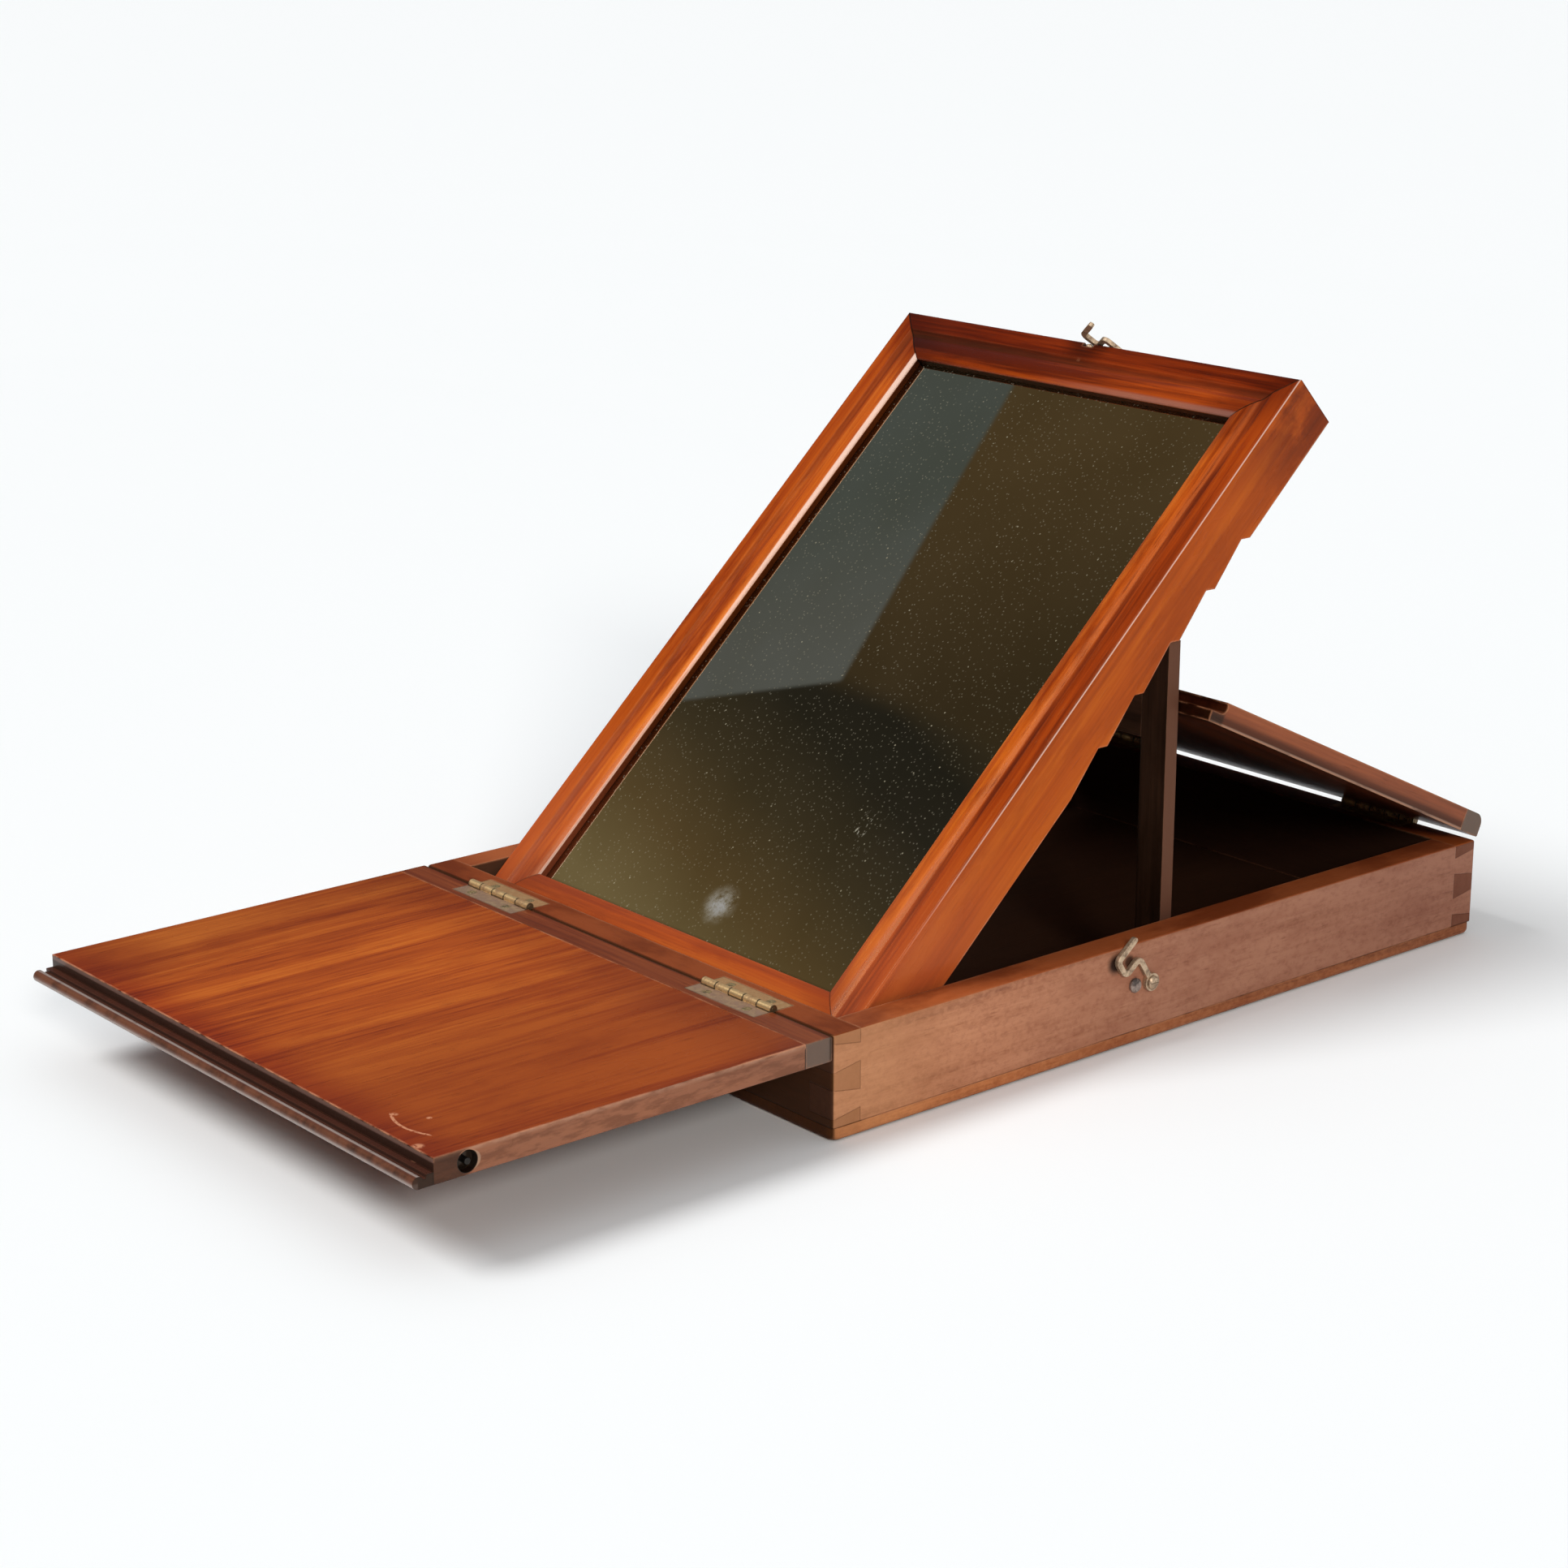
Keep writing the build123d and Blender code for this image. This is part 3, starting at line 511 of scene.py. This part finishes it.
class Moulding(Timber):
    """A member of the frame. Inward is how far a place lies from the frame's outside."""

    def __init__(self, name, grain, shift):
        super().__init__(name, shade(204, 104, 24), shade(172, 72, 12), shade(110, 36, 8),
                         (MIRROR_LEAN, 0, 0), MIRROR_FOOT, grain, shift,
                         shade(170, 150, 140))
        along, up = self.axis("Y"), self.axis("Z")
        from_side = FRAME_HALF_WIDTH - abs(self.axis("X"))
        from_end = along & (FRAME_LENGTH - along)
        off_mitre = abs(from_side - from_end)
        inward = from_side & from_end
        front = self.band(up, -0.0062, -0.0054) * self.band(inward, 0.0, 0.0006)
        outer = front * self.band(inward, HOLLOW + 0.003, FLAT - 0.003)
        groove = front * self.between(inward, FLAT + 0.001, HOLLOW - 0.001, 0.0016)
        # the wall down to the glass, darkened nearly black as painted shade
        sight_shade = (self.band(inward, SIGHT - 0.0005, SIGHT - 0.0001)
                      * self.band(up, -0.0018, -0.0026))
        self.stain(outer * 0.7, shade(196, 150, 124))
        self.stain(groove * self.patches(60, 9, 0.3, 0.6) * 0.7, shade(160, 104, 76))
        self.stain(sight_shade * 0.97, shade(74, 54, 46))
        self.stain(front * self.band(off_mitre, 0.0008, 0.0002) * 0.85, shade(70, 44, 36))
        self.stain(front * self.band(off_mitre, 0.03, 0.0) * 0.7, shade(160, 112, 96))
        self.stain(self.patches(44, 9, 0.5, 0.68, (9, 9, 2)) * 0.7, shade(160, 100, 80))
        self.inward = inward
        self.thumb = front * self.between(inward, HOLLOW + 0.003, SIGHT - 0.0006, 0.003)
        self.matt = sight_shade | groove * 0.6
        self.rubbed = self.band(off_mitre, 0.0008, 0.002) * (1 - sight_shade)


def stile_finish():
    """Redder foot with painted sheen, patched top, a painted highlight down an arris of each.
    """
    wood = Moulding("stile wood", "Y", (1, 0, 0))
    across, along, up = [wood.axis(name) for name in "XYZ"]
    flank = wood.sideways() * wood.band(abs(across), 0.12, 0.121)
    wood.paint(flank * 0.5, shade(176, 76, 12))
    # redder at the foot, with a painted sheen strongest on the flank
    foot = wood.band(along, 0.13, 0.03)
    wood.paint(foot * (flank * 0.2 + 0.3), shade(184, 92, 60))
    top_corner = flank * wood.band(along, 0.29, 0.36)
    wood.stain(top_corner * wood.patches(50, 34, 0.34, 0.54, (2, 6, 6)) * 0.8,
               shade(156, 116, 90))

    # painted highlights: the left stile's by the glass, widening upward; the right one's
    # outside
    climb = wood.band(along, 0.04, 0.3)
    by_glass = (wood.band(wood.inward + climb * 0.0017, SIGHT - 0.0011, SIGHT - 0.0005)
                * wood.band(up, -0.0023, -0.0019))
    left_highlight = (by_glass * wood.band(across, 0.0, -0.01)
                  * (climb * 0.5 + 0.5 | wood.band(wood.inward, SIGHT - 0.0003,
                                                   SIGHT - 0.0001)))
    outside = wood.band(wood.inward, 0.0007, 0.0003) * wood.band(up, -0.0008, -0.0004)
    right_highlight = (outside * wood.band(across, 0.0, 0.01) * wood.band(along, 0.03, 0.15)
                   * 0.85)
    pale = (left_highlight | right_highlight) * wood.patches(90, 8, 0.26, 0.44)
    wood.paint(pale * 0.85, shade(226, 196, 180))
    return wood.polish(0.28, wood.rubbed * 0.8, coat=wood.thumb * 0.08 + 0.03,
                       worn=shade(216, 152, 116), matt=wood.matt)


def rail_finish():
    """Upper rail darker at left, painted shadow and grime under its hook; lower one redder."""
    wood = Moulding("rail wood", "X", (5, 5, 1))
    across, along, up = [wood.axis(name) for name in "XYZ"]
    upper = wood.band(along, 0.1, 0.2)
    wood.stain(upper * 0.6, shade(206, 170, 150))
    wood.stain(upper * wood.band(across, 0.04, -0.1) * 0.7, shade(170, 130, 120))
    # painted shadow and grime round the top hook's foot
    hook_shadow_and_grime = wood.disc(across, along, (-0.002, FRAME_LENGTH), 0.004, 0.014)
    wood.stain(hook_shadow_and_grime * 0.7, shade(110, 80, 70))
    lower = wood.band(along, 0.1, 0.03)
    wood.paint(lower * 0.5, shade(158, 70, 38))
    sheen = (wood.band(wood.inward, SIGHT - 0.0034, SIGHT - 0.0016)
             * wood.band(up, -0.0021, -0.0017) * upper * wood.band(across, -0.03, 0.05))
    wood.paint(sheen * 0.6, shade(132, 98, 88))
    return wood.polish(0.28, wood.rubbed * 0.5, coat=wood.thumb * 0.14 + 0.03,
                       matt=wood.matt)


clad(stile_finish(), "frame_left_stile", "frame_right_stile")
clad(rail_finish(), "frame_top_rail", "frame_bottom_rail")


# ---- the glass and its back ---------------------------------------------------------------
# The old plate's silvering has gone brown. It is full of pin-point spots where it has
# lifted, with one clouded bloom low down and a few scratches. A thin plain board,
# held by brads, closes the back.

BLOOM = (0.009, 0.044)
SCRATCHES = (0.060, 0.099)
GLASS_HALF_WIDTH = 0.1015
GLASS_FOOT = 0.025


def silvering():
    plate = Finish("old silvering", (MIRROR_LEAN, 0, 0), MIRROR_FOOT)
    across, along = plate.axis("X"), plate.axis("Y")
    clouds = plate.noise(plate.stretched(12, 8), 3, 0.6)
    thin = plate.noise(plate.stretched(22), 4, 0.6)

    def spots(count, size, share):
        """Spots, so many to the metre, over the share of the plate that is thin."""
        away = plate.node("TexVoronoi", None, {"Vector": plate.spot, "Scale": count},
                          "Distance")
        return plate.band(away, size, size * 0.35) * plate.band(thin, share, share + 0.2)

    def cloudy_disc(place, radius, soft, ground, low, high):
        return plate.disc(across, along, place, radius, soft) * plate.band(ground, low, high)

    lifted = spots(150, 0.09, 0.34) | spots(460, 0.26, 0.2) * 0.35
    bloom = cloudy_disc(BLOOM, 0.002, 0.010, plate.noise(plate.stretched(150), 4, 0.7),
                        0.3, 0.66)
    scratch = cloudy_disc(SCRATCHES, 0.004, 0.009,
                          plate.noise(plate.stretched(420, 160), 3, 0.7), 0.6, 0.68)
    rim = (plate.band(abs(across), GLASS_HALF_WIDTH - 0.003, GLASS_HALF_WIDTH)
           | plate.band(along, GLASS_FOOT + 0.0025, GLASS_FOOT))
    plate.colour = plate.ramp(clouds, (0.35, (0.46, 0.41, 0.29, 1)),
                              (0.65, (0.54, 0.49, 0.37, 1)))
    plate.paint(lifted * 0.5, shade(196, 186, 150))
    plate.paint(bloom * 0.45, shade(140, 152, 176))
    plate.paint(scratch * 0.6, shade(190, 190, 176))
    plate.paint(rim * 0.5, shade(70, 54, 38))
    marks = lifted * 0.4 | bloom * 0.6 | scratch * 0.5
    return plate.surface(Base_Color=plate.colour, Metallic=1 - marks,
                         Roughness=clouds * 0.02 + 0.002 + marks * 0.4)


clad(silvering(), "mirror_glass")

back_wood = Timber("backboard wood", shade(128, 92, 62), shade(104, 70, 46),
                   shade(74, 48, 32), (MIRROR_LEAN, 0, 0), MIRROR_FOOT, shift=(2, 8, 8))
back_wood.stain(back_wood.patches(18, 9, 0.42, 0.66) * 0.7, shade(150, 136, 124))
clad(back_wood.polish(0.72, 0.2), "backboard")


# ---- the strut ------------------------------------------------------------------------
# A light frame that folds back into the case: two legs, tenoned into a deep top rail
# and never polished; the wood is painted dark as shade, its sides paler as painted light.

def strut_finish(name, grain, shift):
    # dark all over, painted shade
    wood = Timber(name, shade(64, 42, 30), shade(44, 28, 20), shade(27, 18, 13),
                  grain=grain, shift=shift)
    wood.stain(wood.patches(30, 12, 0.42, 0.64) * 0.6, shade(160, 140, 130))
    # the sides paler, painted light
    wood.paint(wood.sideways() * 0.7, shade(112, 74, 58))
    return wood.polish(0.6, 0.6, worn=shade(130, 92, 72), rub=0.0008)


clad(strut_finish("strut leg wood", "Z", (1, 4, 1)), "strut_left_leg", "strut_right_leg")
clad(strut_finish("strut rail wood", "X", (7, 1, 3)), "strut_top_rail")


# ---- the metalwork ----------------------------------------------------------------------
# Brass butts let in flush, with slotted screws, and two small cast hooks with their
# studs. The brass is dull and brown in its corners, bright only where it is rubbed.

class OldMetal(Finish):
    """Metal gone dull in clouds, tarnished in spots, and still bright on its arrises."""

    def __init__(self, name, bright, dull, spotted, tarnish=0.5):
        super().__init__(name)
        clouds = self.noise(self.stretched(260), 4, 0.65)
        spots = self.noise(self.stretched(900), 3, 0.6)
        self.dulled = self.band(clouds, 0.36, 0.62)
        self.stained = self.band(clouds * 0.6 + spots * 0.4, 0.48, 0.6) * tarnish
        self.colour = self.blend(self.dulled, bright, dull)
        self.paint(self.stained, spotted)
        self.paint(self.edges(0.0005) * 0.6, bright)
        self.height = spots * 0.4 + clouds
        self.rough = clouds * 0.3 + 0.26 + self.stained * 0.2

    def worked(self):
        """End the metal with its arrises rounded by handling."""
        return self.surface(
            Base_Color=self.colour, Roughness=self.rough,
            Metallic=0.8 - self.stained * 0.4 - self.dulled * 0.35,
            Normal=self.relief(self.height, depth=0.00005, rounding=0.0004))


HINGE_AXIS = (0.2003, 0.0467)
BARREL_RADIUS = 0.0019
HINGE_START = 0.0615
KNUCKLE = 0.009


def hinge_brass(name, plate_tone, edge_tone):
    """A butt's leaf: dull plate, bright knuckles with painted shade in the gaps between them.
    """
    metal = OldMetal(name, shade(230, 196, 142), shade(188, 148, 102), shade(84, 62, 42))
    barrel = metal.disc(abs(metal.axis("Y")), metal.axis("Z"), HINGE_AXIS, BARREL_RADIUS,
                        0.0004)
    plate = 1 - barrel
    metal.paint(plate * (metal.dulled * 0.2 + 0.7), plate_tone)
    metal.paint(plate * metal.edges(0.0016) * 0.7, edge_tone)
    metal.dulled = metal.dulled | plate
    from_gap = metal.node("Math", {"operation": "PINGPONG"}, {
        0: abs(metal.axis("X")) - HINGE_START, 1: KNUCKLE / 2})
    # painted shade in the gaps between the knuckles
    metal.paint(barrel * metal.band(from_gap, 0.0007, 0.0002) * 0.8, shade(50, 38, 26))
    return metal.worked()


case_leaf = hinge_brass("hinge case leaf", shade(172, 128, 84), shade(104, 62, 40))
flap_leaf = hinge_brass("hinge flap leaf", shade(146, 116, 98), shade(90, 62, 50))
screw_brass = OldMetal("screw brass", shade(190, 168, 120), shade(132, 110, 78),
                       shade(64, 50, 38), 0.8).worked()
hook_brass = OldMetal("hook brass", shade(210, 184, 154), shade(158, 132, 106),
                      shade(82, 62, 48), 0.45).worked()
iron = OldMetal("dull iron", shade(162, 146, 136), shade(118, 100, 92),
                shade(40, 34, 30), 0.8).worked()
# the catch pin, darkened nearly black as painted shade deep in its recess
catch_iron_in_shade = OldMetal("catch iron in painted shade", shade(44, 40, 36), shade(34, 30, 28),
                      shade(22, 19, 17)).worked()

for end in ("front", "rear"):
    for hand in ("left", "right"):
        clad(case_leaf, f"{end}_{hand}_hinge_case_leaf")
        clad(flap_leaf, f"{end}_{hand}_hinge_flap_leaf")
    clad(screw_brass, f"{end}_case_hinge_screws", f"{end}_flap_hinge_screws")
clad(hook_brass, "side_hook", "top_hook", "side_hook_screw", "top_hook_screw", "top_stud")
clad(catch_iron_in_shade, "catch_pin")
clad(iron, "side_stud", "mirror_pivot_pins", "strut_pivot_pins", "backboard_brads")


# ---- the stage ------------------------------------------------------------------------
# A plain pale floor under a soft pale sky that darkens toward its foot, a soft sun from
# each side, and the dim room that the old mirror looks up into, painted on one card
# that only shines in polished things.

def square(name, half, place, facing, material):
    mesh = bpy.data.meshes.new(name)
    mesh.from_pydata([(-half, -half, 0), (half, -half, 0), (half, half, 0), (-half, half, 0)],
                     [], [(0, 1, 2, 3)])
    made = bpy.data.objects.new(name, mesh)
    made.location = place
    made.rotation_euler = facing
    mesh.materials.append(material)
    bpy.context.collection.objects.link(made)
    return made


square("floor", 8, (0, 0, -0.0002), (0, 0, 0),
       Finish("floor paint").surface(Base_Color=shade(244, 245, 244), Roughness=0.95))

ROOM_PLACE = Vector((-1.084, -0.360, 1.142))
ROOM_ACROSS = Vector((0.272, -0.962, 0))
ROOM_UP = Vector((0.635, 0.179, 0.751))
ROOM_HALF = 0.9


def room_paint():
    """A brown wall over a floor that brightens to one side, and one pale window."""
    room = Finish("dim room")
    across, up = room.axis("X"), room.axis("Y")
    ground = room.ramp(across * 1.46 - up * 2 + 0.2, (0.14, (0.064, 0.052, 0.034, 1)),
                       (0.26, (0.028, 0.027, 0.023, 1)), (0.4, (0.034, 0.032, 0.026, 1)),
                       (0.6, (0.079, 0.064, 0.04, 1)), (0.8, (0.16, 0.115, 0.058, 1)),
                       (1, (0.26, 0.21, 0.115, 1)))
    wall = room.ramp(across * 2 + 0.5, (0.15, (0.12, 0.085, 0.045, 1)),
                     (0.6, (0.066, 0.05, 0.03, 1)))
    window = room.blend(room.band(across, -0.17, -0.02), (0.11, 0.136, 0.148, 1),
                        (0.155, 0.176, 0.2, 1))
    on_ground = room.band(across - up * 0.54, 0.015, 0.05)
    in_window = room.band(up + across * 0.76, -0.027, -0.034) * room.band(across, 0.012, 0.007)
    room.colour = room.blend(on_ground, wall, ground)
    room.paint(in_window, window)
    return room.surface(Base_Color=(0, 0, 0, 1), Roughness=1, Specular_IOR_Level=0,
                        Emission_Color=room.colour, Emission_Strength=1)


room_turn = Matrix((ROOM_ACROSS, ROOM_UP, ROOM_ACROSS.cross(ROOM_UP))).transposed()
room_card = square("room", ROOM_HALF, ROOM_PLACE, room_turn.to_euler(), room_paint())
room_card.visible_camera = False
room_card.visible_diffuse = False
room_card.visible_shadow = False
room_card.visible_transmission = False


def sun(name, toward, strength, softness, colour):
    light = bpy.data.lights.new(name, "SUN")
    light.energy = strength
    light.angle = math.radians(softness)
    light.color = colour
    holder = bpy.data.objects.new(name, light)
    holder.rotation_euler = Vector(toward).to_track_quat("Z", "Y").to_euler()
    bpy.context.collection.objects.link(holder)


sun("right sun", (0.92, -0.42, 0.5), 1.5, 14, (1, 0.975, 0.94))
sun("left sun", (-0.4, -0.75, 1.1), 1.9, 24, (0.97, 0.985, 1))


class Sky(Finish):
    """The world's own nodes, written as a material's are."""

    def __init__(self, name):
        world = bpy.data.worlds.new(name)
        world.use_nodes = True
        bpy.context.scene.world = world
        self.tree = world.node_tree
        self.tree.nodes.clear()

    def shine(self, colour):
        """End the world in one plain background."""
        light = self.node("Background", None, {"Color": colour, "Strength": 1})
        out = self.tree.nodes.new("ShaderNodeOutputWorld")
        self.tree.links.new(light.socket, out.inputs["Surface"])


sky = Sky("sky")
height = sky.axis("Z", sky.node("TexCoord", output="Generated"))
glow = sky.ramp(height, (0.3, shade(48, 50, 53)), (0.9, shade(210, 212, 216)))
seen = sky.node("LightPath", output="Is Camera Ray")
sky.shine(sky.blend(seen, glow, shade(246, 247, 248)))
